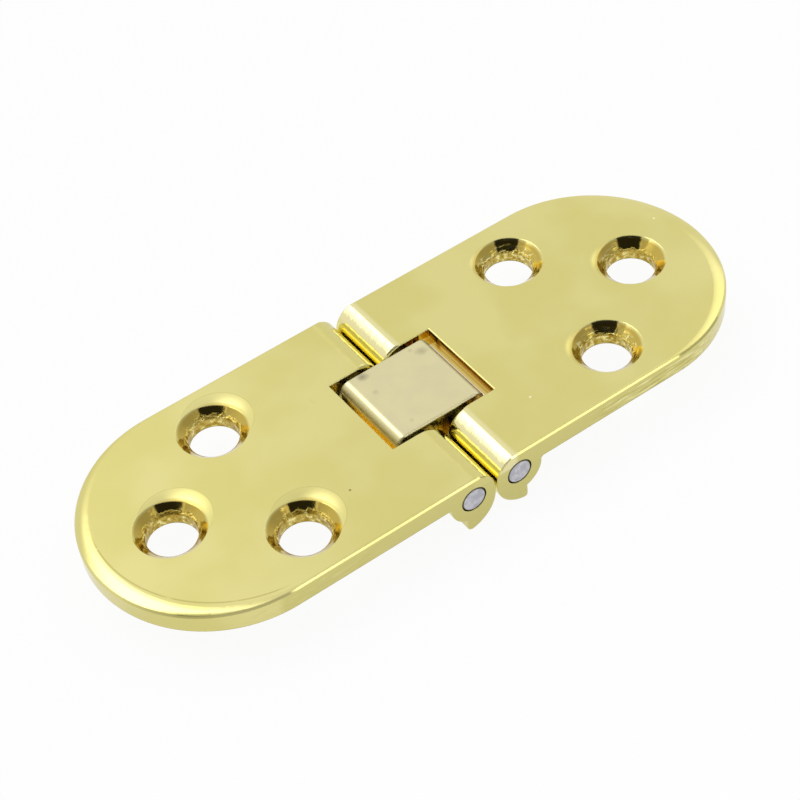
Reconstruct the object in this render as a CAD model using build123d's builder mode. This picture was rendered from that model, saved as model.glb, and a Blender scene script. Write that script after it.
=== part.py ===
from build123d import *
from math import cos, radians, sin, sqrt, tan
import os

# Flush drop leaf hinge, open and flat. X runs across the fold, Y along the pins and Z up.
# The origin is on the ground, under the middle of the link. All sizes are in millimetres.

# Leaves
overall_length = 80.0
leaf_width = 30.0
plate_thickness = 2.5

# Pins and knuckles
pin_pitch = 6.0
pin_diameter = 3.0
pin_end_chamfer = 0.12
knuckle_clearance = 0.08  # radial: the knuckles turn on the pins
pin_grip = 0.01  # radial: the link holds the pins tight
barrel_flat = 0.1  # depth of the flat that the flush top face leaves on a barrel
nose_gap = 0.2  # between the noses that meet and stop the hinge when it is flat
nose_height = 0.6  # upright face of a nose, below the pin axis
toe_heel = 1.0  # outboard wall of a toe, beyond the pin axis
toe_radius = 4.0  # underside of a toe, from the nose to the sole
toe_corner_radius = 0.5
root_radius = 0.35  # where the barrel runs into the underside of the plate
knuckle_inner_radius = 0.45  # rounded edge of a knuckle, on the window side
knuckle_edge_break = 0.15  # the same edge on the side of the leaf, only broken

# Window and link
end_wall_clearance = 0.8  # from a barrel to the end wall of the window
window_width = 11.9
window_edge_radius = 0.12
link_end_gap = 0.9
link_side_gap = 0.6
link_swing_gap = 0.22  # between a corner of the link and the end wall, in mid swing
link_edge_break = 0.15

# Screw holes
screw_hole_diameter = 5.6
countersink_diameter = 8.0
countersink_angle = 90.0
pair_reach = 20.0  # from the fold line to the pair of holes
pair_pitch = 17.5
end_hole_inset = 9.25  # from the tip of the leaf to the single hole

# Shallow hollows that polishing has dragged out of the countersinks, towards the fold
hollow_drag = 1.5
hollow_direction = 143.0  # degrees from +X, on the right leaf
hollow_slope = 7.0

# Polished crown round the top edge, wide at the tip and narrow along the straight sides
crown_tip_width = 1.7
crown_side_width = 0.4
crown_start_slope = 2.0
crown_end_slope = 28.0
crown_edge_break = 0.2  # between the crown and the upright edge of the leaf

# How far cutters run past the faces that they cut, and how close two places count as one
overcut = 0.8
same_place = 0.01

# Places that follow from the sizes
leaf_reach = overall_length / 2
half_width = leaf_width / 2
pin_x = pin_pitch / 2
pin_radius = pin_diameter / 2
barrel_radius = (pin_pitch - nose_gap) / 2
pin_depth = barrel_radius - barrel_flat
nose_x = pin_x - barrel_radius
toe_x = pin_x + toe_heel
toe_overrun = nose_x + toe_radius - toe_x  # from the heel to the centre of the toe's arc
toe_centre_z = toe_corner_radius + sqrt(
    (toe_radius - toe_corner_radius) ** 2 - (toe_overrun + toe_corner_radius) ** 2
)
heel_z = toe_centre_z - sqrt(toe_radius**2 - toe_overrun**2)
pin_z = toe_centre_z + nose_height
hinge_height = pin_z + pin_depth
plate_bottom = hinge_height - plate_thickness
notch_z = pin_z - sqrt(barrel_radius**2 - toe_heel**2)
barrel_top_x = pin_x - sqrt(barrel_radius**2 - pin_depth**2)
barrel_root_x = pin_x + sqrt(barrel_radius**2 - (pin_z - plate_bottom) ** 2)
window_reach = pin_x + barrel_radius + end_wall_clearance
window_edge = window_width / 2

os.makedirs("parts", exist_ok=True)


# Rounding cutter for a knuckle's edge beside the window. It follows the barrel, the nose and
# the underside of the toe, and starts on a rising tangent, so it fades out into the flat top.
barrel_slope = (pin_x - barrel_top_x) / pin_depth
fade_length = knuckle_inner_radius / barrel_slope
rounding_margin = knuckle_inner_radius / 2
with BuildPart() as knuckle_rounding:
    with BuildLine(Plane.XZ.offset(window_edge)) as knuckle_edge:
        fade = Line(
            (barrel_top_x + fade_length, hinge_height + fade_length * barrel_slope),
            (barrel_top_x, hinge_height),
        )
        barrel = RadiusArc(fade @ 1, (nose_x, pin_z), -barrel_radius)
        nose = Line(barrel @ 1, (nose_x, toe_centre_z))
        RadiusArc(nose @ 1, (toe_x, heel_z), -toe_radius)
    with BuildSketch(Plane(fade @ 0, x_dir=(0, 1, 0), z_dir=(fade % 0) * -1)):
        with BuildLine():
            quarter = RadiusArc(
                (-knuckle_inner_radius, 0), (0, -knuckle_inner_radius), knuckle_inner_radius
            )
            Polyline(
                quarter @ 1,
                (rounding_margin, -knuckle_inner_radius),
                (rounding_margin, rounding_margin),
                (-knuckle_inner_radius, rounding_margin),
                quarter @ 0,
            )
        make_face()
    sweep(path=knuckle_edge.line)

with BuildPart() as leaf_right:
    # side view of plate and knuckle in one outline: barrel, nose, toe and notch
    with BuildSketch(Plane.XZ):
        with BuildLine():
            top = Line((leaf_reach, hinge_height), (barrel_top_x, hinge_height))
            over = RadiusArc(top @ 1, (nose_x, pin_z), -barrel_radius)
            face = Line(over @ 1, (nose_x, toe_centre_z))
            sole = RadiusArc(face @ 1, (toe_x, heel_z), -toe_radius)
            heel = Line(sole @ 1, (toe_x, notch_z))
            back = RadiusArc(heel @ 1, (barrel_root_x, plate_bottom), -barrel_radius)
            underside = Line(back @ 1, (leaf_reach, plate_bottom))
            Line(underside @ 1, top @ 0)
        make_face()
    extrude(amount=half_width, both=True)

    heels = leaf_right.edges().filter_by(Axis.Y)
    heels = heels.filter_by_position(Axis.X, toe_x - same_place, toe_x + same_place)
    fillet(heels.sort_by(Axis.Z)[0], radius=toe_corner_radius)
    roots = leaf_right.edges().filter_by(Axis.Y)
    fillet(
        roots.filter_by_position(Axis.X, barrel_root_x - same_place, barrel_root_x + same_place),
        radius=root_radius,
    )

    # plan view: straight sides and a half-round end
    with BuildSketch(Plane.XY):
        with Locations((leaf_reach - half_width, 0)):
            Circle(half_width)
        with Locations(((leaf_reach - half_width) / 2, 0)):
            Rectangle(leaf_reach - half_width, leaf_width)
    extrude(amount=2 * hinge_height, both=True, mode=Mode.INTERSECT)

    # window that the link stands in
    with BuildSketch(Plane.XY):
        Rectangle(2 * window_reach, window_width)
    extrude(amount=2 * hinge_height, both=True, mode=Mode.SUBTRACT)

    # polished crown: an arc section swept round the inner line of the top edge
    crown_y = half_width - crown_side_width
    crown_x = leaf_reach - crown_tip_width - crown_y
    start_rise = sin(radians(crown_start_slope))
    crown_radius = crown_tip_width / (sin(radians(crown_end_slope)) - start_rise)
    crown_reach = crown_tip_width + overcut
    end_rise = start_rise + crown_reach / crown_radius
    crown_fall = crown_radius * (cos(radians(crown_start_slope)) - sqrt(1 - end_rise**2))
    with BuildLine(Plane.XY.offset(hinge_height)) as crown_line:
        side = Line((0, -crown_y), (crown_x, -crown_y))
        tip = RadiusArc(side @ 1, (crown_x, crown_y), -crown_y)
        Line(tip @ 1, (0, crown_y))
    with BuildSketch(Plane(side @ 0, x_dir=(0, -1, 0), z_dir=(-1, 0, 0))):
        with BuildLine():
            slope = RadiusArc((0, 0), (crown_reach, -crown_fall), crown_radius)
            Polyline(slope @ 1, (crown_reach, overcut), (0, overcut), slope @ 0)
        make_face()
    sweep(path=crown_line.line, mode=Mode.SUBTRACT)

    # broken outer edges: the foot of the crown, then the barrel, nose and toe
    sides = leaf_right.faces().filter_by(Axis.Y).group_by(Axis.Y)
    end_wall = leaf_right.faces().filter_by(GeomType.CYLINDER).sort_by(Axis.X)[-1:]
    crown_foot = [wall.edges().sort_by(Axis.Z)[-1] for wall in sides[0] + sides[-1] + end_wall]
    chamfer(crown_foot, length=crown_edge_break)
    sides = leaf_right.faces().filter_by(Axis.Y).group_by(Axis.Y)
    outline = (sides[0] + sides[-1]).edges()
    chamfer(outline.filter_by_position(Axis.X, 0, barrel_top_x), length=knuckle_edge_break)

    # rounded edges beside the window
    add(knuckle_rounding.part, mode=Mode.SUBTRACT)
    mirror(knuckle_rounding.part, about=Plane.XZ, mode=Mode.SUBTRACT)

    # softened rim of the window
    top_face = leaf_right.faces().filter_by(Axis.Z).sort_by(Axis.Z)[-1]
    rim = top_face.edges().filter_by_position(Axis.X, 0, window_reach + same_place)
    inside = window_edge + same_place
    fillet(rim.filter_by_position(Axis.Y, -inside, inside), radius=window_edge_radius)

    # bores for the pin, through both knuckles
    with Locations(Plane.XZ.offset(half_width)):
        with Locations((pin_x, pin_z)):
            Hole(pin_radius + knuckle_clearance, depth=leaf_width)

    # countersunk screw holes and the hollows dragged out of them
    hole_places = [
        (pair_reach, -pair_pitch / 2),
        (pair_reach, pair_pitch / 2),
        (leaf_reach - end_hole_inset, 0),
    ]
    with Locations(*[(x, y, hinge_height) for x, y in hole_places]):
        CounterSinkHole(
            screw_hole_diameter / 2,
            countersink_diameter / 2,
            depth=plate_thickness,
            counter_sink_angle=countersink_angle,
        )
    hollow_radius = countersink_diameter / 2
    hollow_depth = hollow_radius * tan(radians(hollow_slope))
    drag_x = hollow_drag * cos(radians(hollow_direction))
    drag_y = hollow_drag * sin(radians(hollow_direction))
    hollow_z = hinge_height - hollow_depth / 2
    with Locations(*[(x + drag_x, y + drag_y, hollow_z) for x, y in hole_places]):
        Cone(0, hollow_radius, hollow_depth, mode=Mode.SUBTRACT)
leaf_right.part.label = "leaf_right"
export_step(leaf_right.part, "parts/leaf_right.step")

with BuildPart() as leaf_left:
    mirror(leaf_right.part, about=Plane.YZ)
leaf_left.part.label = "leaf_left"
export_step(leaf_left.part, "parts/leaf_left.step")

# The ends of the link swing past the end walls of the window, so the radius of its upper
# corners follows from how far from the pin axis a corner may reach.
link_end = window_reach - link_end_gap
link_overhang = link_end - pin_x
link_half_width = window_edge - link_side_gap
corner_reach = window_reach - pin_x - link_swing_gap
corner_excess = link_overhang + pin_depth - corner_reach
corner_radius = corner_excess - sqrt(
    corner_excess**2 - link_overhang**2 - pin_depth**2 + corner_reach**2
)

with BuildPart() as link_block:
    with BuildSketch(Plane.XZ):
        with BuildLine():
            flat = Line((0, hinge_height), (link_end - corner_radius, hinge_height))
            bend = RadiusArc(flat @ 1, (link_end, hinge_height - corner_radius), corner_radius)
            end = Line(bend @ 1, (link_end, pin_z))
            belly = RadiusArc(end @ 1, (pin_x, pin_z - link_overhang), link_overhang)
            Line(belly @ 1, (0, pin_z - link_overhang))
            mirror(about=Plane.YZ)
        make_face()
    extrude(amount=link_half_width, both=True)
    chamfer(link_block.faces().filter_by(Axis.Y).edges(), length=link_edge_break)
    with Locations(Plane.XZ.offset(link_half_width)):
        with Locations((-pin_x, pin_z), (pin_x, pin_z)):
            Hole(pin_radius - pin_grip, depth=2 * link_half_width)
link_block.part.label = "link_block"
export_step(link_block.part, "parts/link_block.step")

with BuildPart() as pin_right:
    with BuildSketch(Plane.XZ):
        with Locations((pin_x, pin_z)):
            Circle(pin_radius)
    extrude(amount=half_width, both=True)
    chamfer(pin_right.edges().filter_by(GeomType.CIRCLE), length=pin_end_chamfer)
pin_right.part.label = "pin_right"
export_step(pin_right.part, "parts/pin_right.step")

with BuildPart() as pin_left:
    mirror(pin_right.part, about=Plane.YZ)
pin_left.part.label = "pin_left"
export_step(pin_left.part, "parts/pin_left.step")
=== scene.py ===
import math
import bpy
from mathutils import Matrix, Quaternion, Vector

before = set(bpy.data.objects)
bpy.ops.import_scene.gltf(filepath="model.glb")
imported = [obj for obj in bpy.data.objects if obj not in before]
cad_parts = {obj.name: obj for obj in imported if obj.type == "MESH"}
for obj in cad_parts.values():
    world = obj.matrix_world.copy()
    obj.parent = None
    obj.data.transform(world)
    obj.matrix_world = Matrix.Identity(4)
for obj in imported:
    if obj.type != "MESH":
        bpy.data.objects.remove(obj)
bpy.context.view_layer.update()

mm = 0.001
flushTop = 7.348  # mm, height of the top faces
white = (1, 1, 1, 1)
noiseSpan = (0.3, 0.7)  # nearly all of a noise texture lies between these
bevelSamples = 4


def hexColor(text):
    # sRGB hex to the linear color that the nodes take
    channels = [int(text[i:i + 2], 16) / 255 for i in (1, 3, 5)]
    return [c / 12.92 if c <= 0.04045 else ((c + 0.055) / 1.055) ** 2.4 for c in channels] + [1]


def metres(sizes):
    return [size * mm for size in sizes]


def perMm(size):
    # texture scale, in features per metre, for features of that many millimetres
    return 1 / (size * mm)


def addNode(tree, kind, inputs=None, out=0, **settings):
    # a node with its settings, and for each input a value or the socket that feeds it;
    # gives back the output asked for, or several for a slice
    node = tree.nodes.new(kind)
    for name, value in settings.items():
        setattr(node, name, value)
    for name, value in (inputs or {}).items():
        if isinstance(value, bpy.types.NodeSocket):
            tree.links.new(value, node.inputs[name])
        else:
            node.inputs[name].default_value = value
    return node.outputs[out] if node.outputs else node


def maskOf(tree, limits):
    # where every value is past its limit: each is (value, where it gives 0, where it gives 1)
    mask = 1.0
    for value, zeroAt, oneAt in limits:
        part = addNode(
            tree, "ShaderNodeMapRange", {"Value": value, "From Min": zeroAt, "From Max": oneAt},
            interpolation_type="SMOOTHSTEP",
        )
        mask = addNode(tree, "ShaderNodeMath", {0: part, 1: mask}, operation="MULTIPLY")
    return mask


def blendColors(tree, base, layers):
    # each layer is (share, hex color), laid over what is below it
    color = hexColor(base)
    for share, layer in layers:
        # sockets 6 and 7 are this node's two colors, and output 2 is the color that it gives
        color = addNode(tree, "ShaderNodeMix", {
            "Factor": share, 6: color, 7: hexColor(layer),
        }, 2, data_type="RGBA")
    return color


def markLayers(tree, place, ragged, marks):
    # round marks on the flush top: place, outer and inner edge, how far the noise pulls them
    # about, all in mm, then the share that shows and the color
    layers = []
    for mark in marks:
        reach = addNode(tree, "ShaderNodeVectorMath", {
            0: place, 1: Vector((*mark["at"], flushTop)) * mm,
        }, "Value", operation="DISTANCE")
        reach = addNode(tree, "ShaderNodeMath", {
            0: ragged, 1: mark["ragged"] * mm, 2: reach,
        }, operation="MULTIPLY_ADD")
        spot = maskOf(tree, [(reach, *metres(mark["edge"]))])
        faint = addNode(tree, "ShaderNodeMath", {0: spot, 1: mark["share"]}, operation="MULTIPLY")
        layers.append((faint, mark["color"]))
    return layers


def stackBumps(tree, layers, normal=None):
    # each layer is (height, its reach in mm), on top of the normal given
    for height, reach in layers:
        inputs = {"Height": height, "Strength": 1.0, "Distance": reach * mm}
        if normal:
            inputs["Normal"] = normal
        normal = addNode(tree, "ShaderNodeBump", inputs)
    return normal


def newMaterial(name):
    material = bpy.data.materials.new(name)
    material.use_nodes = True
    material.node_tree.nodes.clear()
    return material, material.node_tree


def finishNode(node, material):
    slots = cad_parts[node].data.materials
    slots.clear()
    slots.append(material)


# Camera, at the angle and distance of the photograph
viewpoint = {
    "target": (-2.01, -0.74, 7.35),  # mm, on the top face near the fold
    "azimuth": -30.88,
    "elevation": 46.71,
    "roll": 6.80,
    "distance": 230.15,  # mm
    "lens": 96.48,
    "clip": (0.005, 20.0),  # m
}


def makeCamera(v):
    azimuth, elevation = math.radians(v["azimuth"]), math.radians(v["elevation"])
    back = Vector((
        math.sin(azimuth) * math.cos(elevation),
        -math.cos(azimuth) * math.cos(elevation),
        math.sin(elevation),
    ))
    camera = bpy.data.objects.new("camera", bpy.data.cameras.new("camera"))
    camera.data.lens = v["lens"]
    camera.data.clip_start, camera.data.clip_end = v["clip"]
    camera.rotation_mode = "QUATERNION"
    roll = Quaternion((0, 0, 1), -math.radians(v["roll"]))
    camera.rotation_quaternion = (-back).to_track_quat("-Z", "Y") @ roll
    camera.location = (Vector(v["target"]) + back * v["distance"]) * mm
    bpy.context.scene.collection.objects.link(camera)
    bpy.context.scene.camera = camera


makeCamera(viewpoint)
print("camera placed")


# Light tent, mirrored by the plating: pale cloth all round, dimmer on the near side, with a
# soft panel overhead
tent = {
    "dim": 0.58,  # level on the near side
    "pale": 1.0,  # level on the far side
    "dimAt": -0.4,  # share of +Y in the direction where each level is reached
    "paleAt": 0.5,
    # big panel overhead: its borders as slopes of the direction, across and away from the
    # near side, each from where it starts to where it is full
    "panelLevel": 2.3,
    "panelLeft": (-1.7, -0.25),
    "panelRight": (0.28, -0.10),
    "panelNear": (0.24, 0.34),
    "panelFar": (1.35, 0.4),
    "leastHeight": 0.02,  # keeps the slopes finite at the horizon
    # round glows: toward, inner and outer half angle in degrees, level that each adds
    "glows": [
        ((0.70, 0.14, 0.70), 5, 27, 0.75),  # low on the right
        ((0.05, 0.66, 0.75), 5, 18, 0.15),  # behind, over the left end
        ((0.35, -0.81, 0.47), 6, 11, 1.5),  # near side, right of the lens
        ((0.20, -0.765, 0.61), 2, 5, 0.5),  # gaps of the tent on both sides of the lens
        ((-0.76, -0.20, 0.60), 5, 9, 0.5),
    ],
    # dark opening that the lens looks through
    "openingAzimuth": -34.0,
    "openingFront": (0.05, 0.1),  # keeps it off the far side
    "openingSides": (46, 41),  # degrees from its middle
    "openingBottom": (0.54, 0.60),  # shares of +Z
    "openingTop": (0.84, 0.78),
    "openingDepth": 0.95,
}


def makeTent(t):
    world = bpy.data.worlds.new("lightTent")
    world.use_nodes = True
    tree = world.node_tree
    tree.nodes.clear()
    direction = addNode(tree, "ShaderNodeTexCoord", out="Generated")
    x, y, z = addNode(tree, "ShaderNodeSeparateXYZ", {0: direction}, slice(0, 3))
    height = addNode(tree, "ShaderNodeMath", {0: z, 1: t["leastHeight"]}, operation="MAXIMUM")
    across = addNode(tree, "ShaderNodeMath", {0: x, 1: height}, operation="DIVIDE")
    away = addNode(tree, "ShaderNodeMath", {0: y, 1: height}, operation="DIVIDE")

    level = addNode(tree, "ShaderNodeMapRange", {
        "Value": y, "From Min": t["dimAt"], "From Max": t["paleAt"],
        "To Min": t["dim"], "To Max": t["pale"],
    })
    panel = maskOf(tree, [
        (across, *t["panelLeft"]), (across, *t["panelRight"]),
        (away, *t["panelNear"]), (away, *t["panelFar"]),
    ])
    level = addNode(tree, "ShaderNodeMath", {
        0: panel, 1: t["panelLevel"], 2: level,
    }, operation="MULTIPLY_ADD")
    for toward, inner, outer, amount in t["glows"]:
        facing = addNode(tree, "ShaderNodeVectorMath", {
            0: direction, 1: Vector(toward).normalized(),
        }, "Value", operation="DOT_PRODUCT")
        border, core = [math.cos(math.radians(angle)) for angle in (outer, inner)]
        glow = maskOf(tree, [(facing, border, core)])
        level = addNode(tree, "ShaderNodeMath", {
            0: glow, 1: amount, 2: level,
        }, operation="MULTIPLY_ADD")

    azimuth = math.radians(t["openingAzimuth"])
    forward = (math.sin(azimuth), -math.cos(azimuth), 0)
    sideways = (math.cos(azimuth), math.sin(azimuth), 0)
    front, side = [
        addNode(tree, "ShaderNodeVectorMath", {
            0: direction, 1: axis,
        }, "Value", operation="DOT_PRODUCT")
        for axis in (forward, sideways)
    ]
    slant = addNode(tree, "ShaderNodeMath", {0: side, 1: front}, operation="DIVIDE")
    slant = addNode(tree, "ShaderNodeMath", {0: slant}, operation="ABSOLUTE")
    sides = [math.tan(math.radians(angle)) for angle in t["openingSides"]]
    opening = maskOf(tree, [
        (front, *t["openingFront"]), (slant, *sides),
        (z, *t["openingBottom"]), (z, *t["openingTop"]),
    ])
    openShare = addNode(tree, "ShaderNodeMath", {
        0: opening, 1: -t["openingDepth"], 2: 1.0,
    }, operation="MULTIPLY_ADD")
    level = addNode(tree, "ShaderNodeMath", {0: level, 1: openShare}, operation="MULTIPLY")

    cloth = addNode(tree, "ShaderNodeBackground", {"Color": white, "Strength": level})
    addNode(tree, "ShaderNodeOutputWorld", {"Surface": cloth})
    bpy.context.scene.world = world


makeTent(tent)
print("light tent made")


# Floor: matt white card. The eye sees plain white with a faint shadow under the hinge.
card = {
    "radius": 4.0,  # m
    "corners": 96,
    "color": "#FAFAF9",
    "roughness": 0.9,
    "grain": (0.8, 0.002),  # mm, size and height, coarser than real card so that it shows
    # share of plain white in what each kind of ray sees, the rest being the shaded card
    "whiteFor": {"Is Camera Ray": 0.93, "Is Transmission Ray": 0.93, "Is Glossy Ray": 0.75},
}


def makeFloor(c):
    mesh = bpy.data.meshes.new("floorCard")
    corners = range(c["corners"])
    around = [2 * math.pi * corner / c["corners"] for corner in corners]
    points = [(c["radius"] * math.cos(turn), c["radius"] * math.sin(turn), 0) for turn in around]
    mesh.from_pydata(points, [], [list(corners)])
    floor = bpy.data.objects.new("floorCard", mesh)
    bpy.context.scene.collection.objects.link(floor)

    paper, tree = newMaterial("whiteCard")
    place = addNode(tree, "ShaderNodeTexCoord", out="Object")
    grainSize, grainHeight = c["grain"]
    grain = addNode(tree, "ShaderNodeTexNoise", {"Vector": place, "Scale": perMm(grainSize)})
    matte = addNode(tree, "ShaderNodeBsdfDiffuse", {
        "Color": hexColor(c["color"]), "Roughness": c["roughness"],
        "Normal": stackBumps(tree, [(grain, grainHeight)]),
    })
    plain = addNode(tree, "ShaderNodeEmission", {"Color": white, "Strength": 1.0})
    ray = tree.nodes.new("ShaderNodeLightPath").outputs
    share = 0.0
    for kind, amount in c["whiteFor"].items():
        share = addNode(tree, "ShaderNodeMath", {
            0: ray[kind], 1: amount, 2: share,
        }, operation="MULTIPLY_ADD")
    mix = addNode(tree, "ShaderNodeMixShader", {0: share, 1: matte, 2: plain})
    addNode(tree, "ShaderNodeOutputMaterial", {"Surface": mix})
    mesh.materials.append(paper)


makeFloor(card)
print("floor laid")


# Leaves: zinc casting, polished and plated pale gold. The eye sees a soft mirror of even
# color on the open faces, an unpolished finish where the polish didn't reach, with the deeper
# gold of the countersinks darkened as painted shade, and cast grit low in the countersinks.
# Painted light and shade also lie on the right leaf's window walls and barrel. Sizes are in mm,
# and pairs of places run from no effect to full effect.
leafPlating = {
    "color": "#DBD28C",
    "thinColor": "#D5CC80",
    "patch": 9.0,
    "patchSpan": (0.35, 0.65),
    "roughness": (0.05, 0.10),
    "smear": 3.5,
    "wave": (2.2, 0.0012),  # size and height of what polishing leaves
    "softEdge": 0.18,
    # plain underside
    "underside": (4.95, 4.86),
    "undersideRoughness": 0.28,
    # screw holes, on the right leaf, and their countersinks
    "holes": [(20.0, -8.75, 0), (20.0, 8.75, 0), (30.75, 0, 0)],
    "holeReach": (4.25, 4.0),
    "holeRim": (3.95, 4.05),
    "cavityTop": (7.30, 7.05),
    # deeper gold of the countersinks, darkened as painted shade
    "holeGoldAndShade": "#C0A850",
    "holeDent": 0.45,  # share of the barrel's dents
    # cast grit in them, in clumps big enough to show: size and height, and where it begins
    # with its raggedness on top
    "grit": (0.55, 0.14),
    "gritTop": {"leaf_left": (7.05, 6.70), "leaf_right": (6.84, 6.60)},
    "gritRagged": 1.0,
    "gritRoughness": 0.26,
    "darkGrain": ("#A98B2E", 0.50, 0.40),
    "paleGrain": ("#F4E79B", 0.55, 0.66),
    # hollows dragged out of the countersinks: offset, radius and slope of the plain cone
    "hollowDrag": (-1.198, 0.903, 0),
    "hollowRadius": 4.0,
    "hollowSlope": 7.0,
    # their rounded lip: slopes at the edge and near the hole, how far in it reaches, how wide
    # it is and how late its slope comes
    "lipSlopes": {"leaf_left": (4.0, 12.0), "leaf_right": (-1.0, 14.0)},
    "lipReach": 1.6,
    "lipWidth": {"leaf_left": 2.4, "leaf_right": 1.6},
    "lipPower": {"leaf_left": 1.0, "leaf_right": 2.5},
    # fine lines at the creases that polishing left, darkened as painted shade, on the top face
    # only, with breaks in them
    "creaseShadeColor": "#A79C58",
    "lineWidth": 0.10,
    "lineShare": {"leaf_left": 0.30, "leaf_right": 0.0},
    "lineBreaks": (0.3, 0.5),
    "lineFace": (7.0, 7.2),
    "lineRim": (4.0, 4.1),
    # window: half length and half width, each outside and inside its walls, then the colors of
    # the walls above, in a bright line and below, and how far down the last two begin; on the
    # right leaf the dark band above is painted shade and the bright line a painted highlight
    "window": (6.85, 6.70, 6.12, 5.98),
    "windowColorsAndPaintedLight": {
        "leaf_left": ("#F4EBBE", "#F4EBBE", "#F4EBBE"),
        "leaf_right": ("#C89A1E", "#FADC74", "#E2C25C"),
    },
    "windowHighlightLine": (6.15, 5.85),
    "windowBlend": (0.2, 1.0),  # down the walls, and along the underside
    # strip beside the fold, unpolished like the window
    "foldColor": "#EDE395",
    "foldStrip": (2.5, 1.9),
    "foldTop": (6.3, 5.6),
    "foldEnd": (14.9, 14.7),
    "castRoughness": 0.12,
    # flat end faces of plate and knuckles
    "endColor": "#CEC67C",
    "endFace": (14.8, 14.95),
    # barrel, dented beside the fold, tinted paler on the right leaf as a painted highlight and a
    # little darker on the left
    "barrelColorAndHighlight": {"leaf_left": "#D3CA80", "leaf_right": "#E6DEA6"},
    "barrelInner": (0.0, 1.0),
    "barrelOuter": (3.1, 2.5),
    "barrelLow": (5.6, 6.0),
    "dent": (0.8, 0.036),
    # upright edge, with lengthwise streaks, coarser than real polishing lines so that they
    # show: size, height, how much they are drawn out
    "streak": (0.32, 0.03),
    "streakStretch": 0.12,
    "streakShare": {"leaf_left": 0.3, "leaf_right": 1.0},
    "darkStreak": ("#BDB262", 0.53, 0.64),
    "paleStreak": ("#EAE2A0", 0.47, 0.36),
    "streakSoftness": (0.0, 1.2),
    "edgeTop": (6.95, 6.6),
    "edgeStart": (10.0, 17.0),
    "edgeEnd": (34.0, 28.0),
}


def nearestTo(tree, flat, spots):
    nearest = 1.0
    for spot in spots:
        reach = addNode(tree, "ShaderNodeVectorMath", {
            0: flat, 1: Vector(spot) * mm,
        }, "Value", operation="DISTANCE")
        nearest = addNode(tree, "ShaderNodeMath", {0: reach, 1: nearest}, operation="MINIMUM")
    return nearest


def lineLayers(tree, p, node, place, z, toHole, toHollow, smear, creases):
    # each line is (distance, radius of its arc, width, share, masks that end it)
    lines = [(toHollow, p["hollowRadius"], p["lineWidth"], p["lineShare"][node], [])]
    for crease in creases:
        reach, near = [
            addNode(tree, "ShaderNodeVectorMath", {
                0: place, 1: Vector((*crease[spot], flushTop)) * mm,
            }, "Value", operation="DISTANCE")
            for spot in ("center", "around")
        ]
        ends = [(near, *metres(crease["reach"]))]
        lines.append((reach, crease["radius"], crease["width"], crease["share"], ends))

    layers = []
    onTop = (z, *metres(p["lineFace"]))
    offHole = (toHole, *metres(p["lineRim"]))
    for reach, radius, width, share, ends in lines:
        off = addNode(tree, "ShaderNodeMath", {0: reach, 1: radius * mm}, operation="SUBTRACT")
        off = addNode(tree, "ShaderNodeMath", {0: off}, operation="ABSOLUTE")
        line = maskOf(tree, [
            (off, width * mm, 0.0), onTop, offHole, (smear, *p["lineBreaks"]), *ends,
        ])
        faint = addNode(tree, "ShaderNodeMath", {0: line, 1: share}, operation="MULTIPLY")
        # dark crease lines, painted shade
        layers.append((faint, p["creaseShadeColor"]))
    return layers


def lipHeight(tree, p, node, toHollow):
    # height of the rounded lip above the plain cone of the hollow, in mm
    inward = addNode(tree, "ShaderNodeMath", {
        0: p["hollowRadius"] * mm, 1: toHollow,
    }, operation="SUBTRACT")
    inward = addNode(tree, "ShaderNodeMath", {0: inward, 1: 0.0}, operation="MAXIMUM")
    inward = addNode(tree, "ShaderNodeMath", {
        0: inward, 1: p["lipReach"] * mm,
    }, operation="MINIMUM")
    inward = addNode(tree, "ShaderNodeMath", {0: inward, 1: perMm(1)}, operation="MULTIPLY")
    coneFall, edgeFall, holeFall = [
        math.tan(math.radians(slope)) for slope in (p["hollowSlope"], *p["lipSlopes"][node])
    ]
    late = p["lipPower"][node]
    bend = (holeFall - edgeFall) / p["lipWidth"][node] ** late / (late + 1)
    lip = addNode(tree, "ShaderNodeMath", {0: inward, 1: late}, operation="POWER")
    lip = addNode(tree, "ShaderNodeMath", {
        0: lip, 1: -bend, 2: coneFall - edgeFall,
    }, operation="MULTIPLY_ADD")
    return addNode(tree, "ShaderNodeMath", {0: lip, 1: inward}, operation="MULTIPLY")


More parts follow.
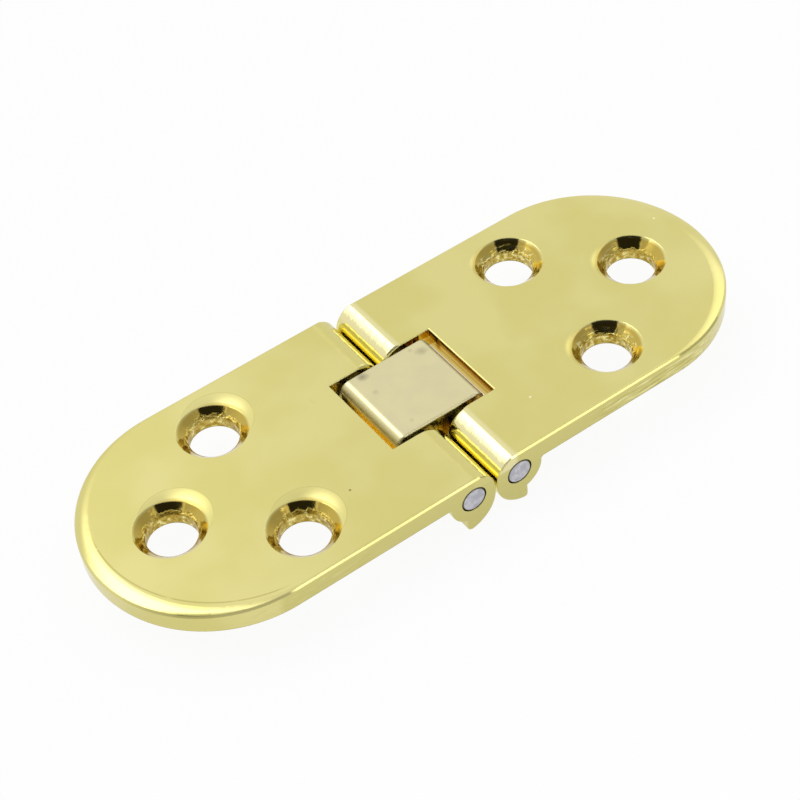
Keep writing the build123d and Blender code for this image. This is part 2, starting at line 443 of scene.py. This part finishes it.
def makeLeafPlating(node, p, side, marks, creases):
    material, tree = newMaterial(node + "GoldPlating")
    place = addNode(tree, "ShaderNodeTexCoord", out="Object")
    # both leaves share the right leaf's places: the left one is mirrored about the fold
    mirrored = addNode(tree, "ShaderNodeVectorMath", {
        0: place, 1: (side, 1, 1),
    }, operation="MULTIPLY")
    x, y, z = addNode(tree, "ShaderNodeSeparateXYZ", {0: mirrored}, slice(0, 3))
    farY = addNode(tree, "ShaderNodeMath", {0: y}, operation="ABSOLUTE")
    flat = addNode(tree, "ShaderNodeVectorMath", {0: mirrored, 1: (1, 1, 0)}, operation="MULTIPLY")
    holes = [Vector(spot) for spot in p["holes"]]
    toHole = nearestTo(tree, flat, holes)
    toHollow = nearestTo(tree, flat, [spot + Vector(p["hollowDrag"]) for spot in holes])

    # what casting, polishing and handling left
    grit = addNode(tree, "ShaderNodeTexNoise", {
        "Vector": place, "Scale": perMm(p["grit"][0]), "Detail": 3.0,
    })
    patches = addNode(tree, "ShaderNodeTexNoise", {"Vector": place, "Scale": perMm(p["patch"])})
    smear = addNode(tree, "ShaderNodeTexNoise", {
        "Vector": place, "Scale": perMm(p["smear"]), "Detail": 4.0,
    })
    wave = addNode(tree, "ShaderNodeTexNoise", {"Vector": place, "Scale": perMm(p["wave"][0])})
    dents = addNode(tree, "ShaderNodeTexNoise", {"Vector": place, "Scale": perMm(p["dent"][0])})
    lengthwise = addNode(tree, "ShaderNodeVectorMath", {
        0: place, 1: (p["streakStretch"], 1, 1),
    }, operation="MULTIPLY")
    streaks = addNode(tree, "ShaderNodeTexNoise", {
        "Vector": lengthwise, "Scale": perMm(p["streak"][0]), "Detail": 3.0,
    })

    # where the polish didn't reach, and the countersinks, whose color is painted shade
    underTop, underLow = metres(p["underside"])
    above = (z, underLow, underTop)
    below = (z, *metres(p["cavityTop"]))
    atHole = (toHole, *metres(p["holeReach"]))
    inHole = maskOf(tree, [atHole, below, above])
    raggedZ = addNode(tree, "ShaderNodeMath", {
        0: grit, 1: p["gritRagged"] * mm, 2: z,
    }, operation="MULTIPLY_ADD")
    gritty = maskOf(tree, [atHole, (raggedZ, *metres(p["gritTop"][node])), above])
    windowEnd, windowEndIn, windowSide, windowSideIn = metres(p["window"])
    inWindow = maskOf(tree, [
        (x, windowEnd, windowEndIn), (farY, windowSide, windowSideIn), below,
    ])
    inFold = maskOf(tree, [
        (x, *metres(p["foldStrip"])), (z, *metres(p["foldTop"])), (farY, *metres(p["foldEnd"])),
    ])
    asCast = addNode(tree, "ShaderNodeMath", {0: inWindow, 1: inFold}, operation="MAXIMUM")

    # edge, end faces and barrel
    onEdge = maskOf(tree, [
        (z, *metres(p["edgeTop"])), (x, *metres(p["edgeStart"])), (x, *metres(p["edgeEnd"])),
        above,
    ])
    onEdge = addNode(tree, "ShaderNodeMath", {
        0: onEdge, 1: p["streakShare"][node],
    }, operation="MULTIPLY")
    endFace = maskOf(tree, [(farY, *metres(p["endFace"])), below])
    onBarrel = maskOf(tree, [
        (x, *metres(p["barrelOuter"])), (x, *metres(p["barrelInner"])),
        (z, *metres(p["barrelLow"])),
    ])

    windowTop, windowHighlightLine, windowLow = p["windowColorsAndPaintedLight"][node]
    wallBlend, underBlend = p["windowBlend"]
    layers = [
        (maskOf(tree, [(patches, *p["patchSpan"])]), p["thinColor"]),
        (endFace, p["endColor"]),
        # painted shade: the countersinks darkened to a deeper gold
        (inHole, p["holeGoldAndShade"]),
        (inFold, p["foldColor"]),
        # window walls: on the right leaf the upper wall is painted shade, then a painted highlight
        # line and a lighter band below
        (inWindow, windowTop),
    ]
    for start, layer in zip(p["windowHighlightLine"], (windowHighlightLine, windowLow)):
        fromHere = (z, (start + wallBlend) * mm, start * mm)
        layers.append((maskOf(tree, [(inWindow, 0.0, 1.0), fromHere]), layer))
    # painted highlight on the right leaf's barrel
    layers.append((onBarrel, p["barrelColorAndHighlight"][node]))
    for layer, zeroAt, oneAt in (p["darkStreak"], p["paleStreak"]):
        streaked = maskOf(tree, [(streaks, zeroAt, oneAt), (onEdge, *p["streakSoftness"])])
        layers.append((streaked, layer))
    for layer, zeroAt, oneAt in (p["darkGrain"], p["paleGrain"]):
        grained = maskOf(tree, [(grit, zeroAt, oneAt), (gritty, 0.0, 1.0)])
        layers.append((grained, layer))
    layers += markLayers(tree, place, grit, marks)
    layers += lineLayers(tree, p, node, place, z, toHole, toHollow, smear, creases)

    least, most = p["roughness"]
    polish = addNode(tree, "ShaderNodeMapRange", {
        "Value": smear, "From Min": noiseSpan[0], "From Max": noiseSpan[1],
        "To Min": least, "To Max": most,
    })
    rough = addNode(tree, "ShaderNodeMix", {0: asCast, 2: polish, 3: p["castRoughness"]})
    under = maskOf(tree, [(z, underTop, underLow), (x, windowEnd, windowEnd + underBlend * mm)])
    rough = addNode(tree, "ShaderNodeMix", {0: under, 2: rough, 3: p["undersideRoughness"]})
    rough = addNode(tree, "ShaderNodeMix", {0: gritty, 2: rough, 3: p["gritRoughness"]})

    dented = addNode(tree, "ShaderNodeMath", {
        0: inHole, 1: p["holeDent"], 2: onBarrel,
    }, operation="MULTIPLY_ADD")
    dents = addNode(tree, "ShaderNodeMath", {0: dents, 1: dented}, operation="MULTIPLY")
    streaks = addNode(tree, "ShaderNodeMath", {0: streaks, 1: onEdge}, operation="MULTIPLY")
    grains = addNode(tree, "ShaderNodeMath", {0: grit, 1: gritty}, operation="MULTIPLY")
    soft = addNode(tree, "ShaderNodeBevel", {
        "Radius": p["softEdge"] * mm,
    }, samples=bevelSamples)
    # the lip stays out of the countersinks and off the underside;
    # sockets 4 and 5 are this node's two vectors, and output 1 is the vector that it gives
    outside = maskOf(tree, [(toHole, *metres(p["holeRim"])), above])
    rounded = stackBumps(tree, [(lipHeight(tree, p, node, toHollow), 1.0)], soft)
    normal = addNode(tree, "ShaderNodeMix", {
        "Factor": outside, 4: soft, 5: rounded,
    }, 1, data_type="VECTOR")
    normal = stackBumps(tree, [
        (wave, p["wave"][1]), (streaks, p["streak"][1]), (dents, p["dent"][1]),
        (grains, p["grit"][1]),
    ], normal)
    shader = addNode(tree, "ShaderNodeBsdfPrincipled", {
        "Base Color": blendColors(tree, p["color"], layers), "Metallic": 1.0,
        "Roughness": rough, "Normal": normal,
    })
    addNode(tree, "ShaderNodeOutputMaterial", {"Surface": shader})
    return material


# small marks of wear on the top face, in mm
paleSpeck = {"color": "#FFF8C8", "edge": (0.30, 0.15), "ragged": 0.25, "share": 0.8}
darkSpeck = {"color": "#8A7A40", "edge": (0.26, 0.13), "ragged": 0.1, "share": 0.8}
dullSmudge = {"color": "#C9BC78", "edge": (1.2, 0.6), "ragged": 1.6, "share": 0.5}
leafMarks = {
    "leaf_left": [
        {"at": (-38.06, 2.46), **paleSpeck},
        {"at": (-13.46, -7.73), **darkSpeck},
        {"at": (-9.47, 5.17), **dullSmudge},
    ],
    "leaf_right": [
        {"at": (37.21, 3.52), **paleSpeck},
        {"at": (8.92, -9.40), **paleSpeck},
    ],
}
# arcs at creases that polishing left, painted dark as their shade, each shown only near the place
# that it runs around
leafCreases = {
    "leaf_left": [{
        "center": (-23.28, 0.65), "radius": 14.89, "width": 0.16, "share": 0.6,
        "around": (-35.5, -7.5), "reach": (12.5, 10.5),
    }],
    "leaf_right": [],
}
for node, side in (("leaf_left", -1), ("leaf_right", 1)):
    plating = makeLeafPlating(node, leafPlating, side, leafMarks[node], leafCreases[node])
    finishNode(node, plating)
print("leaves plated")


# Link: the same casting under a thinner, paler plating. The eye sees a duller, almost nickel
# top with grey finger marks, and deeper gold down its sides. Sizes are in mm.
linkPlating = {
    "color": "#D8D0A2",
    "thinColor": "#D6CDA3",
    "patch": 3.0,
    "patchSpan": (0.4, 0.6),
    "roughness": (0.14, 0.24),
    "smear": 2.0,
    "wave": (1.6, 0.004),
    "pit": (0.25, 0.006),
    "softEdge": 0.32,
    # sides inside the window
    "sideColor": "#EED474",
    "sideTop": (6.5, 5.9),
    "sideEnd": (4.6, 5.2),
    # dull rounded ends, their color darkened as painted shade to tone down their highlight
    "endColor": "#C4BC8E",
    "endRoughness": 0.50,
    "endReach": (4.9, 5.3),  # from the middle
    "draft": 25.0,  # degrees that the ends lean below the rounding
    # grey marks: place, radius and share, with their edge and raggedness as shares of the radius
    "markColor": "#8F8A72",
    "markEdge": (1.7, 0.7),
    "markRagged": 1.6,
    "marks": [
        ((-3.09, 4.83), 0.9, 0.80),
        ((4.16, 3.84), 1.0, 0.50),
        ((-2.73, -3.93), 0.7, 0.30),
        ((-3.39, 1.96), 0.6, 0.25),
        ((3.2, 4.6), 0.5, 0.35),
    ],
}


def makeLinkPlating(name, p):
    material, tree = newMaterial(name)
    place = addNode(tree, "ShaderNodeTexCoord", out="Object")
    x, _, z = addNode(tree, "ShaderNodeSeparateXYZ", {0: place}, slice(0, 3))
    farX = addNode(tree, "ShaderNodeMath", {0: x}, operation="ABSOLUTE")
    smear = addNode(tree, "ShaderNodeTexNoise", {
        "Vector": place, "Scale": perMm(p["smear"]), "Detail": 4.0,
    })
    pits = addNode(tree, "ShaderNodeTexNoise", {
        "Vector": place, "Scale": perMm(p["pit"][0]), "Detail": 2.0,
    })
    patches = addNode(tree, "ShaderNodeTexNoise", {"Vector": place, "Scale": perMm(p["patch"])})
    wave = addNode(tree, "ShaderNodeTexNoise", {"Vector": place, "Scale": perMm(p["wave"][0])})

    sideTop, sideFull = metres(p["sideTop"])
    atEnd = (farX, *metres(p["endReach"]))
    ends = maskOf(tree, [atEnd, (z, sideFull, sideTop)])
    sides = maskOf(tree, [(z, sideTop, sideFull), (z, *metres(p["sideEnd"]))])
    marks = [{
        "at": at, "edge": [share * radius for share in p["markEdge"]],
        "ragged": p["markRagged"] * radius, "share": shown, "color": p["markColor"],
    } for at, radius, shown in p["marks"]]
    layers = [
        (maskOf(tree, [(patches, *p["patchSpan"])]), p["thinColor"]),
        # the darker ends are painted shade over their highlight
        (ends, p["endColor"]),
        (sides, p["sideColor"]),
        *markLayers(tree, place, smear, marks),
    ]

    least, most = p["roughness"]
    polish = addNode(tree, "ShaderNodeMapRange", {
        "Value": smear, "From Min": noiseSpan[0], "From Max": noiseSpan[1],
        "To Min": least, "To Max": most,
    })
    rough = addNode(tree, "ShaderNodeMix", {0: ends, 2: polish, 3: p["endRoughness"]})

    # lean of the ends, as a height in mm that grows with the depth below the rounding
    depth = addNode(tree, "ShaderNodeMath", {0: sideTop, 1: z}, operation="SUBTRACT")
    depth = addNode(tree, "ShaderNodeMath", {0: depth, 1: 0.0}, operation="MAXIMUM")
    draft = addNode(tree, "ShaderNodeMath", {
        0: depth, 1: perMm(1) * math.tan(math.radians(p["draft"])),
    }, operation="MULTIPLY")
    draft = addNode(tree, "ShaderNodeMath", {
        0: draft, 1: maskOf(tree, [atEnd]),
    }, operation="MULTIPLY")
    soft = addNode(tree, "ShaderNodeBevel", {
        "Radius": p["softEdge"] * mm,
    }, samples=bevelSamples)
    bumps = [(draft, 1.0), (wave, p["wave"][1]), (pits, p["pit"][1])]
    shader = addNode(tree, "ShaderNodeBsdfPrincipled", {
        "Base Color": blendColors(tree, p["color"], layers), "Metallic": 1.0,
        "Roughness": rough, "Normal": stackBumps(tree, bumps, soft),
    })
    addNode(tree, "ShaderNodeOutputMaterial", {"Surface": shader})
    return material


finishNode("link_block", makeLinkPlating("paleGoldPlating", linkPlating))
print("link plated")


# Pins: drawn steel rod, cut off flat. The eye sees a dull grey disc with uneven shine.
pinSteel = {
    "color": "#C9C9CF",
    "dullColor": "#B4B3BC",
    "dullSpan": (0.4, 0.6),
    "roughness": (0.25, 0.42),
    "cut": (0.7, 0.012),  # mm, size and height of what the cutter left
    # grime round the rim
    "rimColor": "#5C5A40",
    "rim": (1.28, 1.42),  # mm from the axis
    "axis": (3.0, 0, 4.548),  # mm
}


def makePinSteel(name, p):
    material, tree = newMaterial(name)
    place = addNode(tree, "ShaderNodeTexCoord", out="Object")
    cut = addNode(tree, "ShaderNodeTexNoise", {
        "Vector": place, "Scale": perMm(p["cut"][0]), "Detail": 3.0,
    })
    least, most = p["roughness"]
    dull = addNode(tree, "ShaderNodeMapRange", {
        "Value": cut, "From Min": noiseSpan[0], "From Max": noiseSpan[1],
        "To Min": least, "To Max": most,
    })
    # both pins folded onto one, and seen along it
    folded = addNode(tree, "ShaderNodeVectorMath", {0: place}, operation="ABSOLUTE")
    section = addNode(tree, "ShaderNodeVectorMath", {
        0: folded, 1: (1, 0, 1),
    }, operation="MULTIPLY")
    reach = addNode(tree, "ShaderNodeVectorMath", {
        0: section, 1: Vector(p["axis"]) * mm,
    }, "Value", operation="DISTANCE")
    color = blendColors(tree, p["color"], [
        (maskOf(tree, [(cut, *p["dullSpan"])]), p["dullColor"]),
        (maskOf(tree, [(reach, *metres(p["rim"]))]), p["rimColor"]),
    ])
    shader = addNode(tree, "ShaderNodeBsdfPrincipled", {
        "Base Color": color, "Metallic": 1.0, "Roughness": dull,
        "Normal": stackBumps(tree, [(cut, p["cut"][1])]),
    })
    addNode(tree, "ShaderNodeOutputMaterial", {"Surface": shader})
    return material


steel = makePinSteel("cutSteel", pinSteel)
for node in ("pin_left", "pin_right"):
    finishNode(node, steel)
print("pins finished")

bpy.context.scene.view_settings.view_transform = "Standard"
